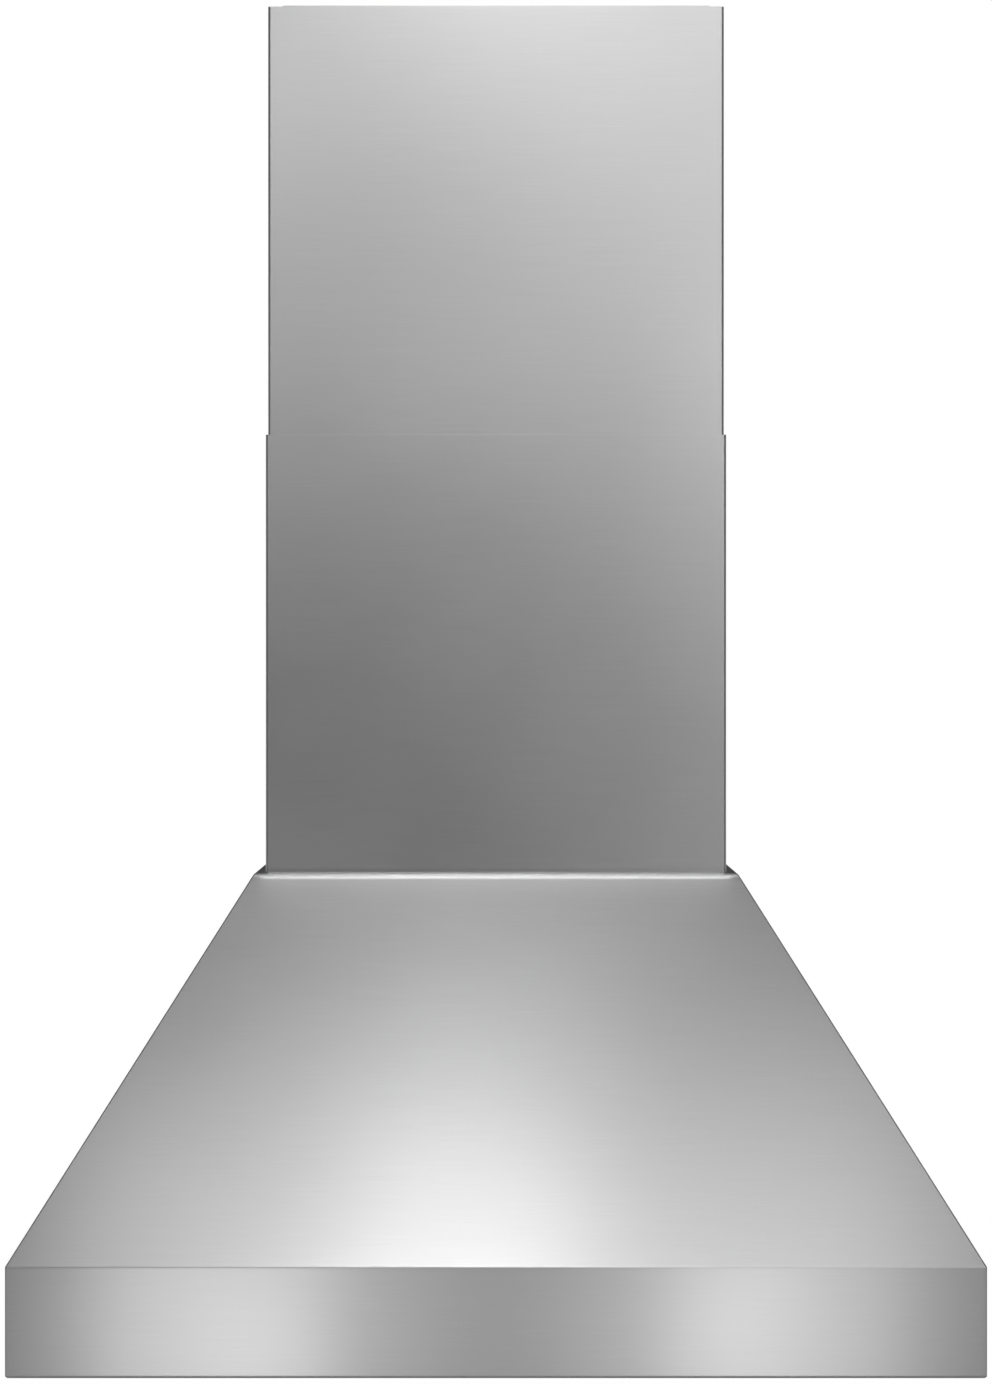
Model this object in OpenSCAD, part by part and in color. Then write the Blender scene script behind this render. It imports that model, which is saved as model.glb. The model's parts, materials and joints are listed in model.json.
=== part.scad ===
// Wall mount range hood: a pyramid canopy with a box lip, telescoping duct covers,
// three baffle filters, a grease tray, a centrifugal blower and a damper collar.
// Lengths are in millimetres. X runs to the viewer's right, Y to the wall and Z up.
// The wall is the plane y = 0, and the origin is the centre of the four wall screw holes.
// Heights in the modules are measured from the bottom edge of the lip, and on_wall() places them.

/* [Canopy] */
// Width of the hood over the lip
hood_w = 914; // [860:1:1067]
// Depth of the hood from the wall to the front of the lip
hood_d = 610; // [590:1:660]
// Height of the canopy from its bottom edge to its flat top
canopy_h = 457; // [445:1:500]
// Height of the vertical lip
lip_h = 103.5; // [98:0.5:120]
// Width of the lip's underside, from the outer face to the inner skirt
lip_foot = 30; // [27:1:36]
// Height of the inner skirt behind the lip
skirt_h = 40; // [36:1:46]
// Thickness of the canopy sheet
sheet = 1.2; // [1:0.1:1.5]
// Outside radius of the bend between the front slope and the flat top
bend_r = 18; // [12:1:24]
// Outside radius of the bends between the side slopes and the flat top
side_bend_r = 3; // [2:0.5:6]
// Outside radius of the folds along the lip
fold_r = 3; // [2:0.5:5]
// Flat left between the bends and the weld round the top plate
bend_flat = 3; // [2:0.5:4]
// Width of the strip by which the front panel is folded round each hip
front_return = 12; // [8:1:20]

/* [Duct covers] */
// Width of the lower duct cover
cover_w = 458; // [440:1:480]
// Depth of the lower duct cover from the wall
cover_d = 305; // [300:1:330]
// Height of the lower duct cover
lower_cover_h = 436; // [380:1:520]
// Height of the upper duct cover
upper_cover_h = 452; // [400:1:540]
// How far the upper cover reaches into the lower one at full extension
cover_overlap = 25; // [20:1:60]
// Thickness of the cover sheet
cover_sheet = 1; // [0.8:0.1:1.2]
// Sliding gap between the upper cover and the hem of the lower one
slide_gap = 0.3; // [0.2:0.1:0.6]
// Outside radius of the covers' front corners
cover_corner_r = 2.5; // [2.5:0.5:5]
// Height of the hem folded inside the top of the lower cover
hem_h = 12; // [8:1:20]
// Width of the flat top that shows round the lower cover
ledge = 11; // [8:1:16]
// Width of the foot flange inside the lower cover
cover_foot = 14; // [13:1:16]
// Depth of the flange folded in at the top of the upper cover
top_flange = 18; // [12:1:24]
// Length of the relief notch beside that flange
flange_relief = 14.5; // [8:0.5:20]
// Height of the wall bracket strip in the upper cover
bracket_h = 40; // [30:1:50]
// Thickness of the wall bracket
bracket_t = 1.5; // [1.2:0.1:2]
// Distance from the top of the upper cover down to the bracket
bracket_drop = 20; // [12:1:40]
// Spacing of the bracket's two wall holes
bracket_hole_span = 300; // [240:1:340]

/* [Wall fixing] */
// Horizontal spacing of the wall screw holes
wall_span_x = 406; // [360:1:420]
// Vertical spacing of the wall screw holes
wall_span_z = 254; // [230:1:260]
// Diameter of the wall screw holes
wall_hole_d = 8; // [6:0.5:9]
// Height of the middle of the wall screw pattern above the bottom edge
anchor_h = 275; // [270:1:285]
// Diameter of the supply cable knockout in the back panel
supply_hole_d = 22.2; // [20:0.1:24]
// Distance of the knockout and of the control box from the sides of the hood
box_inset = 192; // [180:1:205]

/* [Filters and tray] */
// Thickness of a filter
filter_t = 20; // [18:0.5:21]
// Slope of the filters, high at the front, in degrees
filter_tilt = 10; // [8:0.5:11]
// Height of the rear edge of the filters above the bottom edge
filter_rear_z = 44; // [42:1:48]
// Gap between neighbouring filters
filter_gap = 1.5; // [1:0.1:3]
// Travel of a filter up into the deep front channel
filter_lift = 16; // [14:1:20]
// How far the rear ledge reaches under a filter
rear_catch = 12; // [9:1:13]
// How far the front ledge reaches under a filter
front_catch = 14; // [10:1:18]
// Thickness of the filter sheet
filter_sheet = 0.8; // [0.6:0.1:1]
// Width of the filter frame's flanges
frame_lip = 12; // [10:1:14]
// Width of one baffle channel
baffle_w = 26; // [24:1:28]
// Height of one baffle channel
baffle_h = 11; // [10:0.5:11.5]
// Spacing of the baffle channels
baffle_pitch = 40; // [38:1:42]
// Diameter of the handle wire
wire_d = 4; // [3:0.5:5]
// Length of the handle below its pivots
handle_drop = 30; // [26:1:34]
// Depth of the space behind the filters for the grease tray
tray_zone = 78; // [74:1:90]
// Depth of the grease tray
tray_d = 58; // [50:1:60]
// Height of the grease tray
tray_h = 18; // [14:1:22]
// Height of the tray runners above the bottom edge
runner_z = 30; // [28:1:34]

/* [Control panel] */
// Depth of the control panel behind the lip
panel_d = 110; // [100:1:120]
// Distance of each lamp from the side of the hood
lamp_inset = 167; // [140:1:210]
// Diameter of the lamp sleeves
lamp_d = 60; // [54:1:66]
// Distance of each knob from the middle
knob_x = 42; // [32:1:60]
// Diameter of the knobs
knob_d = 36; // [30:1:42]
// Height of the knobs
knob_h = 19; // [16:1:21]
// Diameter of the switch shafts
shaft_d = 6; // [5:0.5:7]

/* [Blower] */
// Radius of the fan wheel
wheel_r = 100; // [92:1:104]
// Width of the fan wheel
wheel_w = 170; // [160:1:178]
// Inside width of the scroll housing
scroll_w = 200; // [192:1:204]
// Gap between the wheel and the tongue of the scroll
tongue_gap = 12; // [9:1:14]
// Growth of the scroll's radius from the tongue to the outlet
scroll_growth = 53; // [46:1:56]
// Depth of the scroll centre below the flat top
fan_drop = 157; // [150:1:165]
// Radius of the inlet rings
inlet_r = 75; // [70:1:78]
// Number of blades on the fan wheel
blade_count = 36; // [30:1:40]
// Radial height of the blades
blade_depth = 17; // [14:1:18]
// Diameter of the motor
motor_d = 110; // [100:1:116]
// Length of the motor
motor_len = 95; // [85:1:100]
// Diameter of the motor shaft
motor_shaft_d = 12.7; // [11:0.1:14]
// Number of arms on the motor bracket
arm_count = 3; // [3:1:4]

/* [Duct collar] */
// Outside diameter of the collar that the duct slides over
collar_d = 253; // [246:1:256]
// Height of the collar above its base plate
collar_h = 70; // [60:1:90]
// Thickness of the collar sheet
collar_sheet = 0.8; // [0.6:0.1:1]
// Height of the damper pin above the base plate
pin_z = 30; // [24:1:36]
// Diameter of the damper pin
pin_d = 4; // [3:0.5:5]
// Outside diameter of the hinge knuckles on the flaps
knuckle_d = 7; // [6.6:0.1:8]

/* [Fasteners] */
// Diameter of the sheet metal screws
screw_d = 4; // [3:0.5:5]
// Width across the screw heads' washers
screw_head_d = 10; // [9:0.5:11]

/* [Hidden] */
$fn = 64;

// Small clearances that several fits share
seat_gap = 0.2;
running_gap = 0.05;
screw_gap = 0.15;
cut = 1;

// Canopy
deck_w = cover_w + 2 * ledge;
deck_d = cover_d + ledge;
slope_rise = canopy_h - lip_h;
front_run = hood_d - deck_d;
side_run = (hood_w - deck_w) / 2;
// Plan of the right welds: the top plate's corner, and the front panel's edge behind the hip
top_corner = [
    bend_start(hood_w / 2, side_run, side_bend_r) - bend_flat,
    bend_start(hood_d, front_run, bend_r) - bend_flat
];
hip_share = 1 - bend_r / slope_rise;
front_edge = [
    top_corner - [0, front_return],
    [hood_w / 2 - hip_share * side_run, hood_d - hip_share * front_run - front_return],
    [hood_w / 2 + 0.1 * side_run, hood_d + 0.1 * front_run - front_return]
];
opening_x = hood_w / 2 - lip_foot;
opening_p = hood_d - lip_foot;
deck_under = canopy_h - sheet;

// Liner under the canopy
filter_count = 3;
riser_p = opening_p - panel_d;
filter_span = riser_p - tray_zone;
channel_len = filter_span / cos(filter_tilt);
lamp_x = hood_w / 2 - lamp_inset;
lift_stop = 2;
filter_len = channel_len - filter_lift - lift_stop;
filter_w = (2 * opening_x - (filter_count + 1) * filter_gap) / filter_count;
channel_room = filter_t + 2 * seat_gap + 1.5;
rear_stop_h = filter_t + 4;
rail_back_flange = 22;
drip_slot = [60, 5];

// Baffles and handles
lower_baffles = floor((filter_w - 2 * filter_sheet - baffle_w) / baffle_pitch) + 1;
ear_x = baffle_pitch * (lower_baffles % 2 == 1 ? 1 : 1.5);
ear_sheet = 1.2;
ear_l = 11;
ear_foot = 10;
ear_pivot = 5.8;
handle_p = filter_len * 0.5;
handle_bend = 5;
leg_inset = 7;
pin_out = 4;

// Tray
tray_side_gap = 4;
runner_w = 12;
runner_len = tray_zone - 12;
tray_rear_p = 12;

// Controls and lamps
panel_mid_p = riser_p + panel_d / 2;
lamp_flange = 7;
lamp_trim_t = 2.4;
lamp_sleeve_h = 14;
lamp_wall = 1.2;
lens_t = 2.5;
lens_seat = 2;
can_h = 38;
fin_count = 5;
fin_t = 1.6;
fin_gap = 3.2;
bezel_t = 3;
bezel_w = 5;
knob_gap = 0.8;
knob_groove_d = 6;
knob_groove_out = 0.4;
ridge_w = 3;
ridge_h = 1.2;
knob_grooves = 18;
switch_w = 34;
switch_h = 26;
bushing_d = 9.5;
shaft_into_knob = 12;

// Blower
scroll_sheet = 1;
tongue_angle = 75;
scroll_steps = 38;
tongue_r = wheel_r + tongue_gap;
outlet_r = tongue_r + scroll_growth;
tongue_y = tongue_r * cos(tongue_angle);
outlet_depth = outlet_r - tongue_y;
duct_y = -cover_d / 2;
fan_y = duct_y - (outlet_r + tongue_y) / 2;
fan_z = canopy_h - fan_drop;
scroll_top = deck_under - fan_z;
side_plate_x = scroll_w / 2;
flange_w = 26;
flange_leg = 16;
flange_t = 1.5;
wheel_ring_t = 1.5;
wheel_disc_t = 2;
hub_d = 36;
hub_len = 30;
blade_t = 1.2;
blade_bow = 7;
inlet_roll = 8;
motor_in_x = -(wheel_w / 2 - 50);
arm_w = 14;
arm_t = 2;
arm_reach = 15;
capacitor_d = 35;
capacitor_len = 70;

// Collar and damper
collar_r = collar_d / 2;
collar_bore_r = collar_r - collar_sheet;
collar_plate = 2 * collar_r + 13;
collar_z = canopy_h;
stop_w = 3;
stop_t = 1;
flap_t = 0.8;
flap_gap = 0.8;
flap_r = collar_bore_r - flap_gap;
knuckle_slots = 5;
knuckle_len = 38;
knuckle_pitch = 42;
knuckle_clear = 0.8;
pin_inset = 0.3;
deck_screw_x = scroll_w / 2 + sheet + 0.6 * flange_w;
deck_screw_y = outlet_depth / 2 + scroll_sheet + 0.5 * flange_w;

// Covers
cover_step = 2 * cover_sheet + slide_gap;
upper_w = cover_w - 2 * cover_step;
upper_d = cover_d - cover_step;
upper_z = canopy_h + lower_cover_h - cover_overlap;
top_z = upper_z + upper_cover_h;
bracket_z = top_z - bracket_drop - bracket_h;
tab_len = 34;
bracket_hole_d = 6;
cover_screw_p = [0.2 * cover_d, 0.78 * cover_d];
screw_head_h = 3;
screw_len = 8;

// Electrics
box_sheet = 1;
junction_w = 100;
junction_h = 66;
junction_d = 42;
junction_x = box_inset - hood_w / 2;
junction_z = anchor_h - 66;
control_w = 120;
control_h = 60;
control_depth = 32;
control_x = hood_w / 2 - box_inset;

steel = [0.72, 0.73, 0.74];
galvanised = [0.62, 0.65, 0.67];
black = [0.1, 0.1, 0.11];

// Moves a piece from heights above the bottom edge into the frame at the wall screws
module on_wall() {
    translate([0, 0, -anchor_h]) children();
}

// A block between two x values, two distances from the wall and two heights
module slab(x, p, z) {
    translate([x[0], -p[1], z[0]]) cube([x[1] - x[0], p[1] - p[0], z[1] - z[0]]);
}

function span(middle, half) = [middle - half, middle + half];

// Repeats a child on the left and on the right
module both_sides() {
    children();
    mirror([1, 0, 0]) children();
}

// What is taken off a square corner to round it, between two angles less than half a turn apart
module corner_cut(r, from, to) {
    far = 2 * r;
    middle = (from + to) / 2;
    difference() {
        polygon([[0, 0], far * [cos(from), sin(from)], far * [cos(middle), sin(middle)],
            far * [cos(to), sin(to)]]);
        circle(r);
    }
}

// Turns a section drawn in distance from the wall and height into a bar along X
module along_x(length) {
    rotate([90, 0, -90]) linear_extrude(length, center = true) children();
}

module hex_screw(length = screw_len) {
    translate([0, 0, -length]) cylinder(d = screw_d, h = length);
    cylinder(d = screw_head_d, h = 1);
    cylinder(d = 0.75 * screw_head_d, h = screw_head_h, $fn = 6);
}

// Where the flat top ends and the bend down to a slope starts
function bend_start(reach, run, r) = reach - run - r * tan(atan2(slope_rise, run) / 2);

// Section of the canopy from its middle or back out to the lip, inset by the sheet for the inner face
module slope_section(reach, run, r, inset, inner) {
    slope = atan2(slope_rise, run);
    fold = fold_r - inset;
    bend = r - inset;
    fold_p = reach - fold_r;
    fold_z = lip_h - fold_r * tan((90 - slope) / 2);
    bend_p = bend_start(reach, run, r);
    bend_z = canopy_h - r;
    difference() {
        polygon([
            [inner, inset], [reach - inset, inset],
            [reach - inset, fold_z + fold * tan((90 - slope) / 2)],
            [bend_p + bend * tan(slope / 2), canopy_h - inset], [inner, canopy_h - inset]
        ]);
        translate([fold_p, fold_r]) corner_cut(fold, -90, 0);
        translate([fold_p, fold_z]) corner_cut(fold, 0, 90 - slope);
        translate([bend_p, bend_z]) corner_cut(bend, 90 - slope, 90);
    }
}

// The canopy's outline seen from the front
module front_section(inset) {
    slope_section(hood_w / 2, side_run, side_bend_r, inset, -cut);
    mirror([1, 0]) slope_section(hood_w / 2, side_run, side_bend_r, inset, -cut);
}

module canopy_block(inset, past_wall) {
    intersection() {
        along_x(hood_w + 2 * cut) slope_section(hood_d, front_run, bend_r, inset, -past_wall);
        translate([0, past_wall, 0])
            rotate([90, 0, 0]) linear_extrude(hood_d + past_wall + cut) front_section(inset);
    }
}

// The hollow canopy before it is parted into its welded panels
module canopy_walls() {
    on_wall() difference() {
        union() {
            difference() {
                canopy_block(0, 0);
                canopy_block(sheet, cut);
            }
            // inner skirt that closes the box lip
            slab([-opening_x - sheet, opening_x + sheet], [sheet, opening_p + sheet], [0, skirt_h]);
        }
        slab([-opening_x, opening_x], [-cut, opening_p], [-cut, skirt_h + cut]);
    }
}

// A column over a plan drawn in x and distance from the wall, as high as the canopy
module over_plan(points) {
    on_wall() translate([0, 0, -cut]) linear_extrude(canopy_h + 2 * cut) mirror([0, 1]) polygon(points);
}

// Front panel, folded round the hips and welded to the side panels behind them
module canopy_front() {
    right = concat([top_corner], front_edge);
    left = [for (n = [len(right) - 1 : -1 : 0]) [-right[n][0], right[n][1]]];
    color(steel) intersection() {
        canopy_walls();
        over_plan(concat(right, left));
    }
}

module canopy_side() {
    color(steel) intersection() {
        canopy_walls();
        over_plan(concat(front_edge, [[front_edge[2][0], -cut], [top_corner[0], -cut]]));
    }
}

module canopy_top() {
    color(steel) on_wall() difference() {
        slab(span(0, top_corner[0]), [0, top_corner[1]], [deck_under, canopy_h]);
        slab(span(0, scroll_w / 2), span(-duct_y, outlet_depth / 2),
            [deck_under - cut, canopy_h + cut]);
        deck_screw_places() cylinder(d = screw_d + 2 * screw_gap, h = 4 * cut, center = true);
        cover_screw_places() cylinder(d = screw_d + 2 * screw_gap, h = 4 * cut, center = true);
    }
}

module back_panel() {
    color(galvanised) on_wall() {
        difference() {
            rotate([90, 0, 0]) linear_extrude(sheet) front_section(sheet);
            for (x = span(0, wall_span_x / 2), z = span(anchor_h, wall_span_z / 2))
                translate([x, 0, z]) rotate([90, 0, 0])
                    cylinder(d = wall_hole_d, h = 4 * cut, center = true);
            translate([junction_x, 0, junction_z])
                rotate([90, 0, 0]) cylinder(d = supply_hole_d, h = 4 * cut, center = true);
        }
        // stiffening flange along the bottom
        slab([-opening_x + cut, opening_x - cut], [sheet, tray_rear_p - cut], [sheet, 2 * sheet]);
    }
}

// Places children in the plane of the filters: the rear seat is y = 0 and the front is towards -Y
module in_filter_plane() {
    translate([0, -tray_zone, filter_rear_z]) rotate([-filter_tilt, 0, 0]) children();
}

function filter_x(i) = -opening_x + (i + 1) * filter_gap + (i + 0.5) * filter_w;

// Panel behind the lip that carries lamps and knobs, with the deep channel for the filters' front ends
module control_panel() {
    riser_top = filter_rear_z + filter_span * tan(filter_tilt);
    color(steel) on_wall() {
        difference() {
            slab([-opening_x - sheet, opening_x + sheet], [riser_p, opening_p + sheet],
                [skirt_h, skirt_h + sheet]);
            both_sides() translate([lamp_x, -panel_mid_p, skirt_h])
                cylinder(d = lamp_d + 2 * seat_gap, h = 4 * sheet, center = true);
            both_sides() translate([knob_x, -panel_mid_p, skirt_h])
                cylinder(d = bushing_d + 2 * seat_gap, h = 4 * sheet, center = true);
        }
        slab([-opening_x, opening_x], [riser_p, riser_p + sheet], [skirt_h, riser_top + sheet]);
        in_filter_plane() {
            translate([-opening_x, -channel_len, -sheet])
                cube([2 * opening_x, channel_len - filter_len + front_catch, sheet]);
            translate([-opening_x, -channel_len - sheet, -sheet])
                cube([2 * opening_x, sheet, channel_room + 2 * sheet]);
            translate([-opening_x, -channel_len, channel_room])
                cube([2 * opening_x, channel_len - filter_len + front_catch, sheet]);
        }
    }
}

// Side wall of the filter opening, standing on the skirt
module side_rail() {
    rear_top = filter_rear_z + rear_stop_h + 6;
    front_top = filter_rear_z + filter_span * tan(filter_tilt) + filter_t - 2;
    color(steel) on_wall() translate([opening_x + sheet / 2, 0, 0]) along_x(sheet)
        polygon([[sheet, skirt_h], [riser_p, skirt_h], [riser_p, front_top], [tray_zone, rear_top],
            [sheet, rear_top]]);
}

// Rear ledge and stop for the filters, hooked to the back panel above the grease tray
module rear_rail() {
    stop_y = seat_gap;
    top_y = -tray_zone + stop_y * cos(filter_tilt) + rear_stop_h * sin(filter_tilt);
    top_z = filter_rear_z - stop_y * sin(filter_tilt) + rear_stop_h * cos(filter_tilt);
    color(galvanised) on_wall() {
        in_filter_plane() difference() {
            union() {
                translate([-opening_x, -rear_catch, -sheet])
                    cube([2 * opening_x, rear_catch + stop_y + sheet, sheet]);
                translate([-opening_x, stop_y, -sheet])
                    cube([2 * opening_x, sheet, rear_stop_h + sheet]);
            }
            for (i = [0 : filter_count - 1], s = [-1, 1])
                translate([filter_x(i) + s * filter_w / 4, -rear_catch / 2, 0])
                    cube([drip_slot[0], drip_slot[1], 4 * sheet], center = true);
        }
        slab([-opening_x, opening_x], [sheet, -top_y], [top_z - sheet, top_z]);
        slab([-opening_x, opening_x], [sheet, 2 * sheet], [top_z - sheet, top_z + rail_back_flange]);
    }
}

// Angles on the inner skirts that the tray's end lips rest on
module tray_runners() {
    color(galvanised) on_wall() both_sides() {
        slab([opening_x - runner_w, opening_x], [tray_rear_p, tray_rear_p + runner_len],
            [runner_z - sheet, runner_z]);
        slab([opening_x - sheet, opening_x], [tray_rear_p, tray_rear_p + runner_len],
            [runner_z - runner_w, runner_z]);
    }
}

// Trough that catches the grease, with end lips that slide forward on the runners
module grease_tray() {
    body_x = opening_x - runner_w - tray_side_gap / 2;
    lip_x = opening_x - tray_side_gap;
    p = [tray_rear_p, tray_rear_p + tray_d];
    top = runner_z + seat_gap + filter_sheet;
    rim = 6;
    color(steel) on_wall() {
        difference() {
            slab([-body_x, body_x], p, [top - tray_h, top]);
            slab([-body_x + filter_sheet, body_x - filter_sheet], p + filter_sheet * [1, -1],
                [top - tray_h + filter_sheet, top + cut]);
        }
        both_sides() slab([body_x - filter_sheet, lip_x], p, [top - filter_sheet, top]);
        slab([-body_x, body_x], [p[1] - filter_sheet, p[1] + rim], [top - filter_sheet, top]);
        slab([-body_x, body_x], [p[1] + rim - filter_sheet, p[1] + rim], [top - rim, top]);
    }
}

module at_filter(i) {
    on_wall() in_filter_plane() translate([filter_x(i), 0, seat_gap]) children();
}

// Four channels that hold the baffles, open inwards
module filter_frame(i) {
    room = filter_sheet * [1, 1, 1];
    size = [filter_w, filter_len, filter_t];
    color(steel) at_filter(i) translate([-filter_w / 2, -filter_len, 0]) difference() {
        cube(size);
        translate(room) cube(size - 2 * room);
        translate([frame_lip, frame_lip, -cut])
            cube([filter_w - 2 * frame_lip, filter_len - 2 * frame_lip, filter_t + 2 * cut]);
        for (x = filter_w / 4 * [1, 2, 3])
            translate([x - 10, filter_len - 0.6 * frame_lip, -cut]) cube([20, 3, 2 * cut]);
    }
}

// One channel section, open upwards
module channel_section() {
    polygon([
        [-baffle_w / 2, 0], [baffle_w / 2, 0], [baffle_w / 2, baffle_h],
        [baffle_w / 2 - filter_sheet, baffle_h], [baffle_w / 2 - filter_sheet, filter_sheet],
        [-baffle_w / 2 + filter_sheet, filter_sheet], [-baffle_w / 2 + filter_sheet, baffle_h],
        [-baffle_w / 2, baffle_h]
    ]);
}

// A row of channels that run from the front of the filter down to the rear
module baffle_row(i, count) {
    at_filter(i) translate([0, -filter_sheet, 0]) rotate([90, 0, 0])
        linear_extrude(filter_len - 2 * filter_sheet)
            for (n = [0 : count - 1])
                translate([(n - (count - 1) / 2) * baffle_pitch, 0]) children();
}

module lower_baffles(i) {
    color(steel) baffle_row(i, lower_baffles) translate([0, filter_sheet]) channel_section();
}

module upper_baffles(i) {
    color(steel) baffle_row(i, lower_baffles - 1)
        translate([0, filter_t - filter_sheet]) mirror([0, 1]) channel_section();
}

// Two small angles under the baffles that carry the handle
module filter_ears(i) {
    color(steel) at_filter(i) both_sides() translate([ear_x, -handle_p, filter_sheet]) difference() {
        union() {
            translate([-ear_sheet / 2, -ear_l / 2, -ear_sheet]) cube([ear_foot, ear_l, ear_sheet]);
            translate([-ear_sheet / 2, -ear_l / 2, -ear_pivot]) cube([ear_sheet, ear_l, ear_pivot]);
            translate([0, 0, -ear_pivot]) rotate([0, 90, 0])
                cylinder(d = ear_l, h = ear_sheet, center = true);
        }
        translate([0, 0, -ear_pivot]) rotate([0, 90, 0])
            cylinder(d = wire_d + 2 * running_gap, h = 4 * ear_sheet, center = true);
    }
}

// Wire bail that hangs from the ears
module filter_handle(i) {
    leg_x = ear_x - leg_inset;
    leg = handle_drop - 2 * handle_bend;
    color(steel) at_filter(i) translate([0, -handle_p, filter_sheet - ear_pivot])
        rotate([filter_tilt, 0, 0]) both_sides() {
            translate([leg_x + handle_bend, 0, 0]) rotate([0, 90, 0])
                cylinder(d = wire_d, h = leg_inset - handle_bend + pin_out);
            translate([leg_x + handle_bend, 0, -handle_bend]) rotate([90, 0, 0])
                rotate_extrude(angle = 90, start = 90) translate([handle_bend, 0]) circle(d = wire_d);
            translate([leg_x, 0, -handle_bend - leg]) cylinder(d = wire_d, h = leg);
            translate([leg_x - handle_bend, 0, -handle_bend - leg]) rotate([90, 0, 0])
                rotate_extrude(angle = 90, start = 270) translate([handle_bend, 0]) circle(d = wire_d);
            translate([-cut, 0, -handle_drop]) rotate([0, 90, 0])
                cylinder(d = wire_d, h = leg_x - handle_bend + cut);
        }
}

// Places children at a lamp or knob on the underside of the control panel
module on_panel(x) {
    on_wall() translate([x, -panel_mid_p, skirt_h]) children();
}

module lamp_trim(x) {
    r = lamp_d / 2;
    color(steel) on_panel(x) rotate_extrude() polygon([
        [r - 3, -lamp_trim_t], [r + lamp_flange - 1.2, -lamp_trim_t], [r + lamp_flange, -lamp_trim_t / 2],
        [r + lamp_flange, 0], [r, 0], [r, lamp_sleeve_h], [r - lamp_wall, lamp_sleeve_h],
        [r - lamp_wall, lens_seat], [r - 3, lens_seat]
    ]);
}

module lamp_lens(x) {
    color("white") on_panel(x) translate([0, 0, lens_seat])
        cylinder(r = lamp_d / 2 - lamp_wall - running_gap, h = lens_t);
}

// Lamp housing with cooling fins
module lamp_cans() {
    r = lamp_d / 2 - lamp_wall - running_gap;
    base = lens_seat + lens_t;
    color(galvanised) for (x = span(0, lamp_x)) on_panel(x) translate([0, 0, base]) {
        cylinder(r = r, h = lamp_sleeve_h - base + fin_gap);
        cylinder(r = 0.6 * r, h = can_h);
        for (n = [0 : fin_count - 1])
            translate([0, 0, lamp_sleeve_h - base + fin_gap + n * (fin_t + fin_gap)])
                cylinder(r = r + 3, h = fin_t);
    }
}

module knob(x) {
    r = knob_d / 2;
    top = -bezel_t - knob_gap;
    color(black) on_panel(x) difference() {
        union() {
            translate([0, 0, top - knob_h]) rotate_extrude() polygon([
                [0, 0], [r - 4, 0], [r - 2.2, 1.6], [r - 1.2, knob_h - 4], [r, knob_h - 3], [r, knob_h],
                [0, knob_h]
            ]);
            // pointer ridge across the face
            translate([-ridge_w / 2, 5 - r, top - knob_h - ridge_h]) cube([ridge_w, r - 6, ridge_h + 0.8]);
        }
        for (n = [0 : knob_grooves - 1]) rotate((n + 0.5) * 360 / knob_grooves)
            translate([r + knob_groove_out, 0, top - knob_h - cut])
                cylinder(d = knob_groove_d, h = knob_h - 6 + cut);
        translate([0, 0, top - shaft_into_knob]) cylinder(d = shaft_d, h = shaft_into_knob + cut);
    }
}

module knob_shaft(x) {
    color(galvanised) on_panel(x) translate([0, 0, -bezel_t - knob_gap - shaft_into_knob])
        cylinder(d = shaft_d, h = shaft_into_knob + knob_gap + bezel_t + sheet + 0.6 * switch_h);
}

// Rings between the knobs and the panel
module knob_bezels() {
    r = knob_d / 2 + bezel_w;
    color(steel) for (x = span(0, knob_x)) on_panel(x) rotate_extrude() polygon([
        [bushing_d / 2 + seat_gap, 0], [r, 0], [r, -bezel_t / 2], [r - 1.5, -bezel_t],
        [bushing_d / 2 + seat_gap, -bezel_t]
    ]);
}

// Rotary switch above the panel, with its bushing and nut through the panel
module control_switches() {
    color(black) for (x = span(0, knob_x)) on_panel(x) difference() {
        union() {
            translate([-switch_w / 2, -switch_w / 2, sheet]) cube([switch_w, switch_w, switch_h]);
            translate([0, 0, -bezel_t + 0.5]) cylinder(d = bushing_d, h = bezel_t + sheet);
            for (n = [-1, 0, 1])
                translate([n * 9 - 2.5, -0.4, sheet + switch_h]) cube([5, 0.8, 8]);
        }
        translate([0, 0, -bezel_t]) cylinder(d = shaft_d + 2 * running_gap,
            h = bezel_t + sheet + 0.6 * switch_h + seat_gap);
    }
}

function scroll_r(angle) = tongue_r + scroll_growth * (angle - tongue_angle) / (360 - tongue_angle);

// Points of the scroll's wall, moved outwards by the sheet for the outer face
function scroll_wall(out) = [
    for (n = [0 : scroll_steps])
        let (angle = tongue_angle + n * (360 - tongue_angle) / scroll_steps, r = scroll_r(angle) + out)
            n == 0 && out > 0
                ? [tongue_y - out, sqrt(pow(tongue_r + out, 2) - pow(tongue_y - out, 2))]
                : r * [cos(angle), sin(angle)]
];

// Closed outline of the scroll, from the outlet round the spiral and back up
function scroll_outline(out) = concat(
    [[tongue_y - out, scroll_top]], scroll_wall(out), [[outlet_r + out, scroll_top]]
);

function reversed(list) = [for (n = [len(list) - 1 : -1 : 0]) list[n]];

// Places a section drawn in Y and Z at the fan centre and gives it a width along X
module fan_slab(x_from, width) {
    on_wall() translate([x_from, fan_y, fan_z])
        rotate([90, 0, 90]) linear_extrude(width) children();
}

module blower_scroll() {
    color(galvanised) fan_slab(-scroll_w / 2, scroll_w)
        polygon(concat(scroll_outline(scroll_sheet), reversed(scroll_outline(0))));
}

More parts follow.
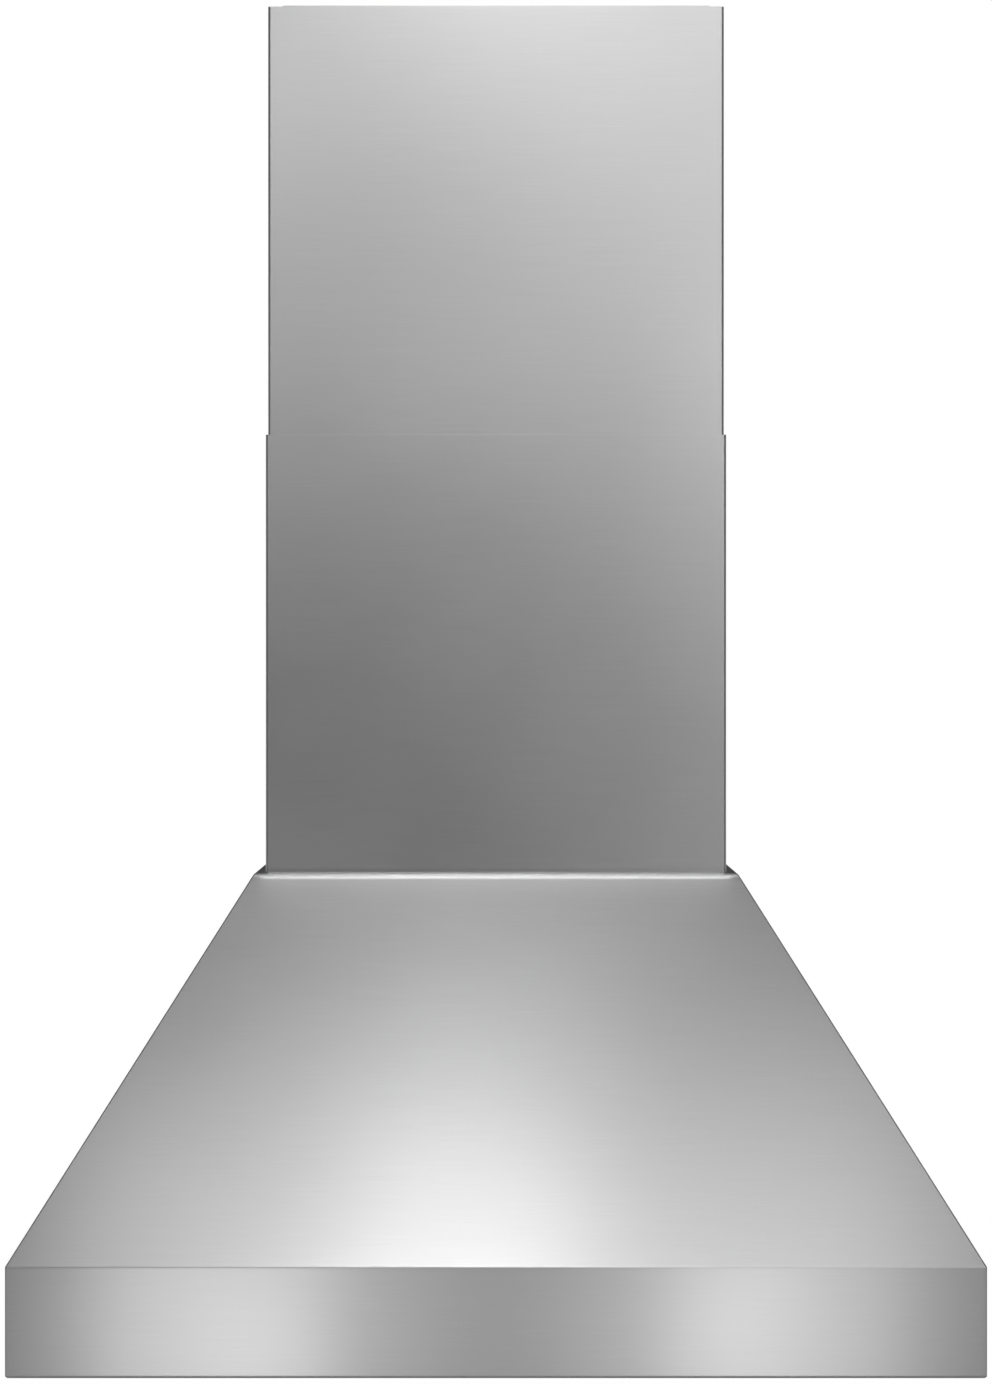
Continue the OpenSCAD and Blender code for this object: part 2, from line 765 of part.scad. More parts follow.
// Side plate of the scroll with its rolled inlet ring
module blower_side(side) {
    x = side > 0 ? side_plate_x : -side_plate_x - sheet;
    roll_x = side > 0 ? side_plate_x - inlet_roll : -side_plate_x;
    color(galvanised) {
        fan_slab(x, sheet) difference() {
            polygon(scroll_outline(scroll_sheet));
            circle(inlet_r);
        }
        fan_slab(roll_x, inlet_roll) difference() {
            circle(inlet_r + sheet);
            circle(inlet_r);
        }
        if (side < 0) for (n = [0 : arm_count - 1])
            fan_slab(x - cut, cut) rotate(90 + n * 360 / arm_count)
                translate([inlet_r + arm_reach / 2, 0]) circle(d = 6);
    }
}

// Angle ring that hangs the scroll from the flat top
module blower_flange() {
    inner = [scroll_w / 2 + sheet, outlet_depth / 2 + scroll_sheet];
    color(galvanised) on_wall() difference() {
        union() {
            slab(span(0, inner[0] + flange_w), span(-duct_y, inner[1] + flange_w),
                [deck_under - flange_t, deck_under]);
            slab(span(0, inner[0] + flange_t), span(-duct_y, inner[1] + flange_t),
                [deck_under - flange_leg, deck_under]);
        }
        slab(span(0, inner[0]), span(-duct_y, inner[1]),
            [deck_under - flange_leg - cut, deck_under + cut]);
        deck_screw_places() cylinder(d = screw_d + 2 * screw_gap, h = 8 * cut, center = true);
    }
}

// One forward curved blade, bowed between its inner and outer radius
module blade_section() {
    steps = 5;
    inner = wheel_r - blade_depth;
    line = [for (n = [0 : steps]) let (s = n / steps)
        [inner + s * blade_depth, blade_bow * (s - 0.2) - 4 * s * (1 - s) * blade_bow * 0.35]];
    polygon(concat(line, [for (n = [steps : -1 : 0]) line[n] + [0, blade_t]]));
}

// Double inlet wheel: two rows of blades on a middle disc, held by end rings
module fan_wheel() {
    inner = wheel_r - blade_depth;
    color(galvanised) {
        fan_slab(-wheel_w / 2, wheel_w)
            for (n = [0 : blade_count - 1]) rotate(n * 360 / blade_count) blade_section();
        for (x = [-wheel_w / 2, wheel_w / 2 - wheel_ring_t]) fan_slab(x, wheel_ring_t) difference() {
            circle(wheel_r);
            circle(inner + 3);
        }
        fan_slab(-wheel_disc_t / 2, wheel_disc_t) difference() {
            circle(wheel_r - 2);
            circle(d = motor_shaft_d + 2 * running_gap);
        }
        fan_slab(-hub_len / 2, hub_len) difference() {
            circle(d = hub_d);
            circle(d = motor_shaft_d + 2 * running_gap);
        }
    }
}

// Motor in the left inlet, with ribbed can, end bell and bearing boss
module motor() {
    back_x = motor_in_x - motor_len;
    groove_count = 16;
    color(black) difference() {
        union() {
            fan_slab(back_x + 8, motor_len - 14) difference() {
                circle(d = motor_d);
                for (n = [0 : groove_count - 1]) rotate((n + 0.5) * 360 / groove_count)
                    translate([motor_d / 2, 0]) square([5, 5], center = true);
            }
            fan_slab(back_x, 8) circle(d = motor_d - 12);
            fan_slab(motor_in_x - 6, 3) circle(d = motor_d - 8);
            fan_slab(motor_in_x - 3, 3) circle(d = 34);
        }
        fan_slab(motor_in_x - 45, 45 + cut) circle(d = motor_shaft_d + 2 * running_gap);
    }
}

module motor_shaft() {
    color("silver") fan_slab(motor_in_x - 44, 44 - motor_in_x + hub_len / 2 + 4)
        circle(d = motor_shaft_d);
}

// Band round the motor with arms out to the side plate
module motor_bracket() {
    arm_x = -side_plate_x - sheet - arm_t;
    band_w = 16;
    outer = inlet_r + arm_reach;
    color(galvanised) {
        fan_slab(arm_x, band_w) difference() {
            circle(d = motor_d + 2 * arm_t);
            circle(d = motor_d);
        }
        fan_slab(arm_x, arm_t) difference() {
            for (n = [0 : arm_count - 1]) rotate(90 + n * 360 / arm_count)
                translate([motor_d / 2 + 0.5, -arm_w / 2]) square([outer - motor_d / 2, arm_w]);
            for (n = [0 : arm_count - 1]) rotate(90 + n * 360 / arm_count)
                translate([inlet_r + arm_reach / 2, 0]) circle(d = 6 + 2 * screw_gap);
        }
    }
}

// Run capacitor strapped to the left side plate
module capacitor() {
    wall_x = -side_plate_x - sheet;
    centre = [wall_x - capacitor_d / 2 - 1, fan_y - 0.5 * wheel_r, fan_z - capacitor_len / 2];
    color("white") on_wall() {
        translate(centre + [0, -0.62 * wheel_r, 0]) {
            cylinder(d = capacitor_d, h = capacitor_len);
            translate([0, 0, capacitor_len]) cylinder(d = capacitor_d - 8, h = 3);
            for (y = [-6, 4]) translate([-0.4, y, capacitor_len + 3]) cube([0.8, 5, 7]);
            translate([0, -capacitor_d / 2 - 8, capacitor_len / 2 - 8])
                cube([capacitor_d / 2 + 1, capacitor_d + 16, 16]);
        }
    }
}

module deck_screw_places() {
    for (x = span(0, deck_screw_x), y = span(duct_y, deck_screw_y))
        translate([x, y, canopy_h]) children();
}

module cover_screw_places() {
    for (x = (cover_w / 2 - cover_foot / 2 - cover_sheet / 2) * [-1, 1], p = cover_screw_p)
        translate([x, -p, canopy_h]) children();
}

module bracket_screw_places() {
    for (s = [-1, 1]) translate([s * upper_w / 2, -0.6 * tab_len, bracket_z + bracket_h / 2])
        rotate([0, s * 90, 0]) children();
}

// Base plate and spigot for the duct, with the ring that the flaps close on
module duct_collar() {
    gap = pin_d / 2 + 1;
    stop_z = collar_z + sheet + pin_z - flap_t / 2 - seat_gap;
    color(galvanised) on_wall() difference() {
        union() {
            translate([-collar_plate / 2, duct_y - collar_plate / 2, collar_z])
                cube([collar_plate, collar_plate, sheet]);
            translate([0, duct_y, collar_z]) cylinder(r = collar_r, h = sheet + collar_h);
        }
        difference() {
            translate([0, duct_y, collar_z - cut]) cylinder(r = collar_bore_r, h = collar_h + 4 * cut);
            difference() {
                translate([0, duct_y, stop_z - stop_t]) cylinder(r = collar_bore_r + cut / 2, h = stop_t);
                translate([0, duct_y, stop_z - stop_t - cut])
                    cylinder(r = collar_bore_r - stop_w, h = stop_t + 2 * cut);
                slab(span(0, 2 * collar_r), span(-duct_y, gap), span(stop_z, 2 * stop_t));
            }
        }
        translate([0, duct_y, collar_z + sheet + pin_z]) rotate([0, 90, 0])
            cylinder(d = pin_d + 2 * running_gap, h = 3 * collar_r, center = true);
        deck_screw_places() cylinder(d = screw_d + 2 * screw_gap, h = 8 * cut, center = true);
    }
}

// Half disc that hinges on the pin; knuckles alternate with those of the other flap
module damper_flap(side) {
    own = side > 0 ? 1 : 0;
    slots = [for (n = [0 : knuckle_slots - 1]) (n - (knuckle_slots - 1) / 2) * knuckle_pitch];
    relief = knuckle_d / 2 + knuckle_clear;
    edge_y = (pin_d + knuckle_d) / 4 + 0.25;
    color(galvanised) on_wall() translate([0, duct_y, collar_z + sheet + pin_z]) difference() {
        union() {
            difference() {
                translate([0, 0, -flap_t / 2]) cylinder(r = flap_r, h = flap_t);
                translate([-collar_d, side > 0 ? -collar_d : -edge_y, -cut])
                    cube([2 * collar_d, collar_d + edge_y, 2 * cut]);
                for (n = [0 : knuckle_slots - 1]) if (n % 2 != own)
                    translate([slots[n], 0, 0])
                        cube([knuckle_len + 2, 2 * relief, 2 * cut], center = true);
                for (s = [-1, 1]) translate([s * (collar_bore_r - 2), 0, 0])
                    cube([24, pin_d + 2, 2 * cut], center = true);
            }
            for (n = [0 : knuckle_slots - 1]) if (n % 2 == own)
                translate([slots[n], 0, 0]) rotate([0, 90, 0])
                    cylinder(d = knuckle_d, h = knuckle_len, center = true);
        }
        rotate([0, 90, 0]) cylinder(d = pin_d + 2 * running_gap, h = 3 * collar_r, center = true);
    }
}

module damper_pin() {
    color("silver") on_wall() translate([0, duct_y, collar_z + sheet + pin_z]) rotate([0, 90, 0])
        cylinder(d = pin_d, h = 2 * (collar_r - pin_inset), center = true);
}

// Plan of a duct cover: a front with two sides that reach back to the wall
module cover_plan(w, d, inset, back) {
    for (s = [0, 1]) mirror([s, 0]) difference() {
        polygon([[-cut, back], [w / 2 - inset, back], [w / 2 - inset, inset - d], [-cut, inset - d]]);
        translate([w / 2 - cover_corner_r, cover_corner_r - d])
            corner_cut(cover_corner_r - inset, -90, 0);
    }
}

module cover_walls(w, d, outer, inner, h) {
    linear_extrude(h) difference() {
        cover_plan(w, d, outer, 0);
        cover_plan(w, d, inner, cut);
    }
}

module lower_cover() {
    foot_x = cover_w / 2 - cover_foot;
    color(steel) on_wall() translate([0, 0, canopy_h]) {
        cover_walls(cover_w, cover_d, 0, cover_sheet, lower_cover_h);
        translate([0, 0, lower_cover_h - hem_h])
            cover_walls(cover_w, cover_d, cover_sheet, 2 * cover_sheet, hem_h);
        difference() {
            linear_extrude(cover_sheet) cover_plan(cover_w, cover_d, 0, 0);
            slab([-foot_x, foot_x], [-cut, cover_d - cover_foot], [-cut, 2 * cut]);
            translate([0, 0, -canopy_h]) cover_screw_places()
                cylinder(d = screw_d + 2 * screw_gap, h = 8 * cut, center = true);
        }
    }
}

module upper_cover() {
    fold_x = upper_w / 2 - flange_relief;
    color(steel) on_wall() difference() {
        union() {
            translate([0, 0, upper_z])
                cover_walls(upper_w, upper_d, 0, cover_sheet, upper_cover_h - cover_sheet);
            slab([-fold_x, fold_x], [upper_d - top_flange, upper_d], [top_z - cover_sheet, top_z]);
        }
        bracket_screw_places() cylinder(d = screw_d + 2 * screw_gap, h = 8 * cut, center = true);
    }
}

// Strip on the wall with a tab at each end that the upper cover is screwed to
module cover_bracket() {
    half = upper_w / 2 - cover_sheet;
    z = [bracket_z, bracket_z + bracket_h];
    color(galvanised) on_wall() difference() {
        union() {
            slab([-half, half], [0, bracket_t], z);
            both_sides() slab([half - bracket_t, half], [0, tab_len], z);
        }
        for (x = bracket_hole_span / 2 * [-1, 1])
            translate([x, 0, bracket_z + bracket_h / 2]) rotate([90, 0, 0])
                cylinder(d = bracket_hole_d, h = 4 * bracket_t, center = true);
        bracket_screw_places() cylinder(d = screw_d + 2 * screw_gap, h = 8 * cut, center = true);
    }
}

// Steel box behind the knockout where the supply is joined
module junction_box() {
    p = [sheet, sheet + junction_d];
    color(galvanised) on_wall() translate([junction_x, 0, junction_z]) difference() {
        slab(span(0, junction_w / 2), p, span(0, junction_h / 2));
        slab(span(0, junction_w / 2 - box_sheet), p + [box_sheet, cut],
            span(0, junction_h / 2 - box_sheet));
        rotate([90, 0, 0]) cylinder(d = supply_hole_d, h = 8 * cut, center = true);
        translate([junction_w / 2, -sheet - junction_d / 2, 0]) rotate([0, 90, 0])
            cylinder(d = supply_hole_d / 2, h = 4 * cut, center = true);
    }
}

module junction_lid() {
    p = [sheet + junction_d, sheet + junction_d + box_sheet];
    color(galvanised) on_wall() translate([junction_x, 0, junction_z]) {
        slab(span(0, junction_w / 2), p, span(0, junction_h / 2));
        for (x = 0.38 * junction_w * [-1, 1]) translate([x, -p[1], 0]) rotate([90, 0, 0])
            cylinder(d = 7, h = 2);
    }
}

// Plastic case of the speed control and lamp driver
module control_box() {
    p = [sheet, sheet + control_depth];
    rim = 3;
    color(black) on_wall() translate([control_x, 0, junction_z]) {
        slab(span(0, control_w / 2), p, span(0, control_h / 2));
        slab(span(0, control_w / 2 + 8), [sheet, sheet + rim], span(0, control_h / 2 - 12));
        for (n = [-2 : 2]) slab(span(n * 16, 3), [p[1], p[1] + rim], span(0, control_h / 2 - 8));
        for (n = [-1, 1]) slab(span(n * 30, 12), [p[0] + 8, p[1] - 8], -control_h / 2 * [1, 1] - [9, 0]);
    }
}

module deck_screws() {
    stack = 2 * sheet + flange_t + 4;
    color("silver") on_wall() translate([0, 0, sheet]) deck_screw_places() hex_screw(stack);
}

module cover_screws() {
    color("silver") on_wall() translate([0, 0, cover_sheet]) cover_screw_places() hex_screw();
}

module bracket_screws() {
    color("silver") on_wall() bracket_screw_places() hex_screw();
}

canopy_front();
mirror([1, 0, 0]) canopy_side();  // canopy_side_left
canopy_side();  // canopy_side_right
canopy_top();
back_panel();
control_panel();
mirror([1, 0, 0]) side_rail();  // side_rail_left
side_rail();  // side_rail_right
rear_rail();
tray_runners();
grease_tray();
filter_frame(0);  // filter_left_frame
lower_baffles(0);  // filter_left_lower_baffles
upper_baffles(0);  // filter_left_upper_baffles
filter_ears(0);  // filter_left_ears
filter_handle(0);  // filter_left_handle
filter_frame(1);  // filter_middle_frame
lower_baffles(1);  // filter_middle_lower_baffles
upper_baffles(1);  // filter_middle_upper_baffles
filter_ears(1);  // filter_middle_ears
filter_handle(1);  // filter_middle_handle
filter_frame(2);  // filter_right_frame
lower_baffles(2);  // filter_right_lower_baffles
upper_baffles(2);  // filter_right_upper_baffles
filter_ears(2);  // filter_right_ears
filter_handle(2);  // filter_right_handle
lamp_trim(-lamp_x);  // lamp_trim_left
lamp_lens(-lamp_x);  // lamp_lens_left
lamp_trim(lamp_x);  // lamp_trim_right
lamp_lens(lamp_x);  // lamp_lens_right
lamp_cans();
knob(-knob_x);  // fan_knob
knob_shaft(-knob_x);  // fan_shaft
knob(knob_x);  // light_knob
knob_shaft(knob_x);  // light_shaft
knob_bezels();
control_switches();
blower_scroll();
blower_side(-1);  // blower_side_left
blower_side(1);  // blower_side_right
blower_flange();
fan_wheel();
motor();
motor_shaft();
motor_bracket();
capacitor();
duct_collar();
damper_flap(-1);  // damper_flap_front
damper_flap(1);  // damper_flap_rear
damper_pin();
lower_cover();
upper_cover();
cover_bracket();
junction_box();
junction_lid();
control_box();
deck_screws();
cover_screws();
bracket_screws();
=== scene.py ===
import json
import math

import bmesh
import bpy
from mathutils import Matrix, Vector


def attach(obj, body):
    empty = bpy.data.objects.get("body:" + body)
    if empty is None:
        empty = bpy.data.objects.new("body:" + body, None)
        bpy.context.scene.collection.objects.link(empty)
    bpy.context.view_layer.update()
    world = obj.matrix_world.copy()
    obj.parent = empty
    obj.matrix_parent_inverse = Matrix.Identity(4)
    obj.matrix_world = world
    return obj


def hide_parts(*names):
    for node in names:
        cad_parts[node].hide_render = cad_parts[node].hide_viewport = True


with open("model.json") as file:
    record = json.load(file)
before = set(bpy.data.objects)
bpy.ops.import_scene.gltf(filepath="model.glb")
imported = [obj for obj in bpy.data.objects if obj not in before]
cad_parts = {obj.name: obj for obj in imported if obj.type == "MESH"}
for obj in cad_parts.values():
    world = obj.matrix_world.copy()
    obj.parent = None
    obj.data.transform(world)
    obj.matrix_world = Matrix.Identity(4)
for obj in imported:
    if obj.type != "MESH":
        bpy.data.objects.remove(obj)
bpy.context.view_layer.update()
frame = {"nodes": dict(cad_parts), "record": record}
scene = bpy.context.scene
nodes = frame["nodes"]

# Sizes that the rebuilt shells share with the solids, in millimetres. Heights are above the
# bottom edge, and the frame's origin is ANCHOR above that edge, at the wall.
MM = 0.001
ANCHOR = 275.0
HOOD_W, HOOD_D, CANOPY_H, LIP_H = 914.0, 610.0, 457.0, 103.5
FOOT, SKIRT_H, SHEET = 30.0, 40.0, 1.2
BEND_R, SIDE_BEND_R, FOLD_R, FOOT_FOLD_R = 18.0, 3.0, 3.0, 1.4
HIP_R, HIP_INNER_R, SKIRT_R = 1.4, 0.3, 2.0
RETURN, BEND_FLAT, SEAM = 12.0, 3.0, 0.2
COVER_W, COVER_D, LEDGE = 458.0, 305.0, 11.0
LOWER_H, UPPER_H, OVERLAP, INSET = 436.0, 452.0, 25.0, 2.3
COVER_T, COVER_R, COVER_MIN_R, COVER_FOOT, COVER_FOOT_R = 1.0, 2.5, 0.4, 14.0, 1.3
HEM, HEM_R, HEM_EDGE, RIM_EDGE = 12.0, 0.12, 0.3, 0.15
FLANGE_RELIEF, FLANGE_D, FLANGE_EDGE, FLANGE_CUT = 14.5, 18.0, 0.2, 0.06
DECK_W, DECK_D = COVER_W + 2 * LEDGE, COVER_D + LEDGE
SIDE_RUN, FRONT_RUN = (HOOD_W - DECK_W) / 2, HOOD_D - DECK_D
TOP_Z = CANOPY_H + LOWER_H - OVERLAP + UPPER_H

# Rows of the canopy's skin: steps round the front bend, heights down the slopes and the lip,
# and angles in degrees round the fold above the lip and the folds below it
BEND_STEPS, SLOPE_ROWS, LIP_ROW = 14, [380, 290, 200, 130], 60.0
HALF_FOLD, FOLD_ANGLES = 19, (42, 38, 32, 24, 16, 8, 0)
LOW_FOLD_ANGLES, SKIRT_ANGLES = (15, 30, 45, 60, 75, 90), (0, 30, 60, 90)

# Edges sharper than this aren't smoothed over, in degrees
CANOPY_CREASE, COVER_CREASE, NODE_CREASE = 35, 40, 35


# ---------- shader helpers ----------

def new_material(name, base, metallic=0.0, roughness=0.5):
    mat = bpy.data.materials.new(name)
    mat.use_nodes = True
    tree = mat.node_tree
    shader = tree.nodes["Principled BSDF"]
    shader.inputs["Base Color"].default_value = (*base, 1)
    shader.inputs["Metallic"].default_value = metallic
    shader.inputs["Roughness"].default_value = roughness
    return mat, tree, shader


def add(tree, kind, **values):
    node = tree.nodes.new(kind)
    for key, value in values.items():
        setattr(node, key, value)
    return node


def maths(tree, operation, a, b=0.0):
    node = add(tree, "ShaderNodeMath", operation=operation)
    for socket, value in zip(node.inputs, (a, b)):
        if isinstance(value, (int, float)):
            socket.default_value = value
        else:
            tree.links.new(value, socket)
    return node.outputs[0]


def vector_maths(tree, operation, a, b):
    node = add(tree, "ShaderNodeVectorMath", operation=operation)
    for socket, value in zip(node.inputs, (a, b)):
        if isinstance(value, tuple):
            socket.default_value = value
        else:
            tree.links.new(value, socket)
    return node.outputs["Value" if operation == "DOT_PRODUCT" else "Vector"]


def ramp(tree, source, low, high, out_low, out_high):
    node = add(tree, "ShaderNodeMapRange", clamp=True)
    tree.links.new(source, node.inputs["Value"])
    limits = {"From Min": low, "From Max": high, "To Min": out_low, "To Max": out_high}
    for key, value in limits.items():
        node.inputs[key].default_value = value
    return node.outputs["Result"]


def noise(tree, vector, scale, detail=2.0, roughness=0.5):
    node = add(tree, "ShaderNodeTexNoise")
    tree.links.new(vector, node.inputs["Vector"])
    node.inputs["Scale"].default_value = scale
    node.inputs["Detail"].default_value = detail
    node.inputs["Roughness"].default_value = roughness
    return node.outputs["Fac"]


def stretched(tree, run, rise, along, across):
    """Texture place with one scale along the brush lines and another across them, per metre."""
    join = add(tree, "ShaderNodeCombineXYZ")
    tree.links.new(maths(tree, "MULTIPLY", run, along), join.inputs[0])
    tree.links.new(maths(tree, "MULTIPLY", rise, across), join.inputs[1])
    return join.outputs[0]


def tint(tree, shader, factor, dark, light):
    """Base colour between two greys by a 0 to 1 factor."""
    mix = add(tree, "ShaderNodeMix", data_type="RGBA")
    tree.links.new(factor, mix.inputs[0])
    mix.inputs[6].default_value = (*dark, 1)
    mix.inputs[7].default_value = (*light, 1)
    tree.links.new(mix.outputs[2], shader.inputs["Base Color"])


def bump(tree, shader, height, strength, distance):
    node = add(tree, "ShaderNodeBump")
    node.inputs["Strength"].default_value = strength
    node.inputs["Distance"].default_value = distance
    tree.links.new(height, node.inputs["Height"])
    tree.links.new(node.outputs["Normal"], shader.inputs["Normal"])


def brushed(name, grey, roughness, anisotropy, smudge=0.03):
    """Stainless sheet: fine level brush lines, with the stretched gloss that they give."""
    mat, tree, shader = new_material(name, (grey, grey, grey * 1.01), 1.0, roughness)
    shader.inputs["Anisotropic"].default_value = anisotropy
    geo = add(tree, "ShaderNodeNewGeometry")
    position = add(tree, "ShaderNodeTexCoord").outputs["Object"]
    # level direction along the sheet; the small shift gives level sheets one too
    along = vector_maths(tree, "CROSS_PRODUCT", geo.outputs["Normal"], (0, 0, 1))
    along = vector_maths(tree, "ADD", along, (0.002, 0, 0))
    along = vector_maths(tree, "NORMALIZE", along, (0, 0, 0))
    over = vector_maths(tree, "CROSS_PRODUCT", geo.outputs["Normal"], along)
    tree.links.new(over, shader.inputs["Tangent"])
    run = vector_maths(tree, "DOT_PRODUCT", position, along)
    rise = vector_maths(tree, "DOT_PRODUCT", position, over)
    # hair lines 0.7 mm apart, bands 5 mm apart, and faint clouds 200 mm across
    fine = noise(tree, stretched(tree, run, rise, 14.0, 1500.0), 1.0, 3.0, 0.65)
    band = noise(tree, stretched(tree, run, rise, 5.0, 190.0), 1.0, 2.0)
    cloud = noise(tree, position, 5.0, 2.0)
    line = maths(tree, "ADD", maths(tree, "MULTIPLY", fine, 0.85),
                 maths(tree, "MULTIPLY", band, 0.15))
    dark, light = grey * 0.96, grey * 1.04
    tint(tree, shader, ramp(tree, line, 0.3, 0.7, 0, 1), (dark,) * 3, (light, light, light * 1.01))
    shade = maths(tree, "ADD", ramp(tree, fine, 0.3, 0.7, -0.02, 0.02),
                  ramp(tree, cloud, 0.3, 0.7, roughness - smudge, roughness + smudge))
    tree.links.new(shade, shader.inputs["Roughness"])
    bump(tree, shader, line, 0.05, 0.0002)
    return mat


def galvanised(name, grey, roughness=0.42):
    """Zinc coated sheet with its crystal spangle, 8 mm across."""
    mat, tree, shader = new_material(name, (grey, grey, grey), 1.0, roughness)
    position = add(tree, "ShaderNodeTexCoord").outputs["Object"]
    cells = add(tree, "ShaderNodeTexVoronoi")
    tree.links.new(vector_maths(tree, "ADD", position, (0.13, 0.07, 0.21)), cells.inputs["Vector"])
    cells.inputs["Scale"].default_value = 120.0
    split = add(tree, "ShaderNodeSeparateColor")
    tree.links.new(cells.outputs["Color"], split.inputs[0])
    cloud = noise(tree, position, 9.0, 4.0)
    level = maths(tree, "ADD", maths(tree, "MULTIPLY", split.outputs[0], 0.7),
                  maths(tree, "MULTIPLY", cloud, 0.3))
    tint(tree, shader, level, (grey * 0.86, grey * 0.88, grey * 0.9),
         (grey * 1.08, grey * 1.1, grey * 1.12))
    tree.links.new(ramp(tree, level, 0, 1, roughness - 0.08, roughness + 0.1),
                   shader.inputs["Roughness"])
    bump(tree, shader, cloud, 0.08, 0.0004)
    return mat


def grained(name, base, roughness, metallic=0.0, scale=900.0, depth=0.1, coat=0.0):
    """Moulded or painted surface: fine grain in height, tone and gloss."""
    mat, tree, shader = new_material(name, base, metallic, roughness)
    shader.inputs["Coat Weight"].default_value = coat
    shader.inputs["Coat Roughness"].default_value = 0.12
    position = add(tree, "ShaderNodeTexCoord").outputs["Object"]
    grain = noise(tree, position, scale, 3.0, 0.6)
    cloud = noise(tree, position, 22.0, 3.0)
    tint(tree, shader, maths(tree, "MULTIPLY", maths(tree, "ADD", grain, cloud), 0.5),
         tuple(c * 0.86 for c in base), tuple(min(1, c * 1.14) for c in base))
    tree.links.new(ramp(tree, cloud, 0.3, 0.7, roughness - 0.05, roughness + 0.06),
                   shader.inputs["Roughness"])
    bump(tree, shader, grain, depth, 0.0003)
    return mat


def turned(name, grey, roughness):
    """Machined or drawn metal with a fine grain and handling marks."""
    mat, tree, shader = new_material(name, (grey, grey, grey), 1.0, roughness)
    position = add(tree, "ShaderNodeTexCoord").outputs["Object"]
    grain = noise(tree, vector_maths(tree, "MULTIPLY", position, (900, 900, 900)), 1.0, 2.0)
    cloud = noise(tree, position, 30.0, 3.0)
    tint(tree, shader, grain, (grey * 0.92,) * 3, (grey * 1.06,) * 3)
    tree.links.new(ramp(tree, cloud, 0.3, 0.7, roughness - 0.04, roughness + 0.06),
                   shader.inputs["Roughness"])
    bump(tree, shader, grain, 0.04, 0.0002)
    return mat


def frosted(name):
    """Sandblasted lamp glass with a stippled face."""
    mat, tree, shader = new_material(name, (0.93, 0.94, 0.92), 0.0, 0.45)
    shader.inputs["Transmission Weight"].default_value = 0.55
    shader.inputs["IOR"].default_value = 1.5
    position = add(tree, "ShaderNodeTexCoord").outputs["Object"]
    cells = add(tree, "ShaderNodeTexVoronoi")
    tree.links.new(position, cells.inputs["Vector"])
    cells.inputs["Scale"].default_value = 420.0
    cloud = noise(tree, position, 60.0, 2.0)
    tint(tree, shader, cloud, (0.86, 0.88, 0.86), (0.97, 0.97, 0.95))
    tree.links.new(ramp(tree, cloud, 0.3, 0.7, 0.38, 0.5), shader.inputs["Roughness"])
    bump(tree, shader, cells.outputs["Distance"], 0.5, 0.0006)
    return mat


MATERIALS = {
    "stainless": brushed("hood_stainless", 0.62, 0.34, 0.6, smudge=0.012),
    "tray_steel": brushed("tray_stainless", 0.56, 0.36, 0.4),
    "filter_steel": brushed("filter_stainless", 0.6, 0.26, 0.3),
    "bright_wire": turned("handle_wire", 0.74, 0.12),
    "galvanised": galvanised("zinc_sheet", 0.56),
    "wheel_steel": galvanised("zinc_wheel", 0.52, 0.38),
    "shaft_steel": turned("ground_steel", 0.66, 0.2),
    "motor_paint": grained("motor_enamel", (0.035, 0.036, 0.04), 0.38, scale=500.0, coat=0.3),
    "capacitor_case": grained("capacitor_case", (0.7, 0.7, 0.68), 0.5),
    "knob_black": grained("knob_plastic", (0.022, 0.022, 0.024), 0.42, depth=0.18),
    "switch_black": grained("switch_plastic", (0.04, 0.04, 0.045), 0.55),
    "lamp_glass": frosted("lamp_glass"),
    "lamp_alloy": grained("cast_alloy", (0.68, 0.69, 0.7), 0.45, 1.0, 700.0, 0.2),
    "zinc_screw": turned("zinc_screw", 0.64, 0.28),
}


# ---------- mesh helpers ----------

def at(x, p, h):
    """A point from x, distance from the wall and height above the bottom edge, in metres."""
    return Vector((x * MM, -p * MM, (h - ANCHOR) * MM))


def new_object(name, bm):
    mesh = bpy.data.meshes.new(name)
    bm.to_mesh(mesh)
    bm.free()
    obj = bpy.data.objects.new(name, mesh)
    scene.collection.objects.link(obj)
    return obj


def finish_piece(name, bm, body, node, crease):
    """Piece of stainless sheet that rides on a body and stands for a CAD node."""
    bmesh.ops.recalc_face_normals(bm, faces=bm.faces)
    obj = new_object(name, bm)
    for face in obj.data.polygons:
        face.use_smooth = True
    obj.data.materials.append(MATERIALS["stainless"])
    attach(obj, body)
    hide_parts(node)
    sharpen(obj, crease)


def sharpen(obj, degrees):
    """Stops smooth shading at edges sharper than the angle, and keeps flat walls flat."""
    bm = bmesh.new()
    bm.from_mesh(obj.data)
    for edge in bm.edges:
        paired = len(edge.link_faces) == 2
        if paired and edge.calc_face_angle(0) > math.radians(degrees):
            edge.smooth = False
    bm.to_mesh(obj.data)
    bm.free()
    weighted = obj.modifiers.new("normals", "WEIGHTED_NORMAL")
    weighted.keep_sharp = True


def corner(half, depth, radius, steps=6):
    """Plan of the rounded front right corner, from the side round to the front."""
    cx, cp = half - radius, depth - radius
    return [(cx + radius * math.cos(a), cp + radius * math.sin(a))
            for a in (math.pi / 2 * i / steps for i in range(steps + 1))]


def bent(right, depth):
    """Closes a right half plan with its front and its mirror image."""
    middle = [(right[-1][0] * f, depth) for f in (0.5, 0.0, -0.5)]
    return right + middle + [(-x, p) for x, p in reversed(right)]


def u_path(half, depth, radius):
    """Plan of a sheet bent round three sides, from the wall on the right to that on the left."""
    right = [(half, 0.0), (half, (depth - radius) * 0.5)] + corner(half, depth, radius)
    return bent(right, depth)


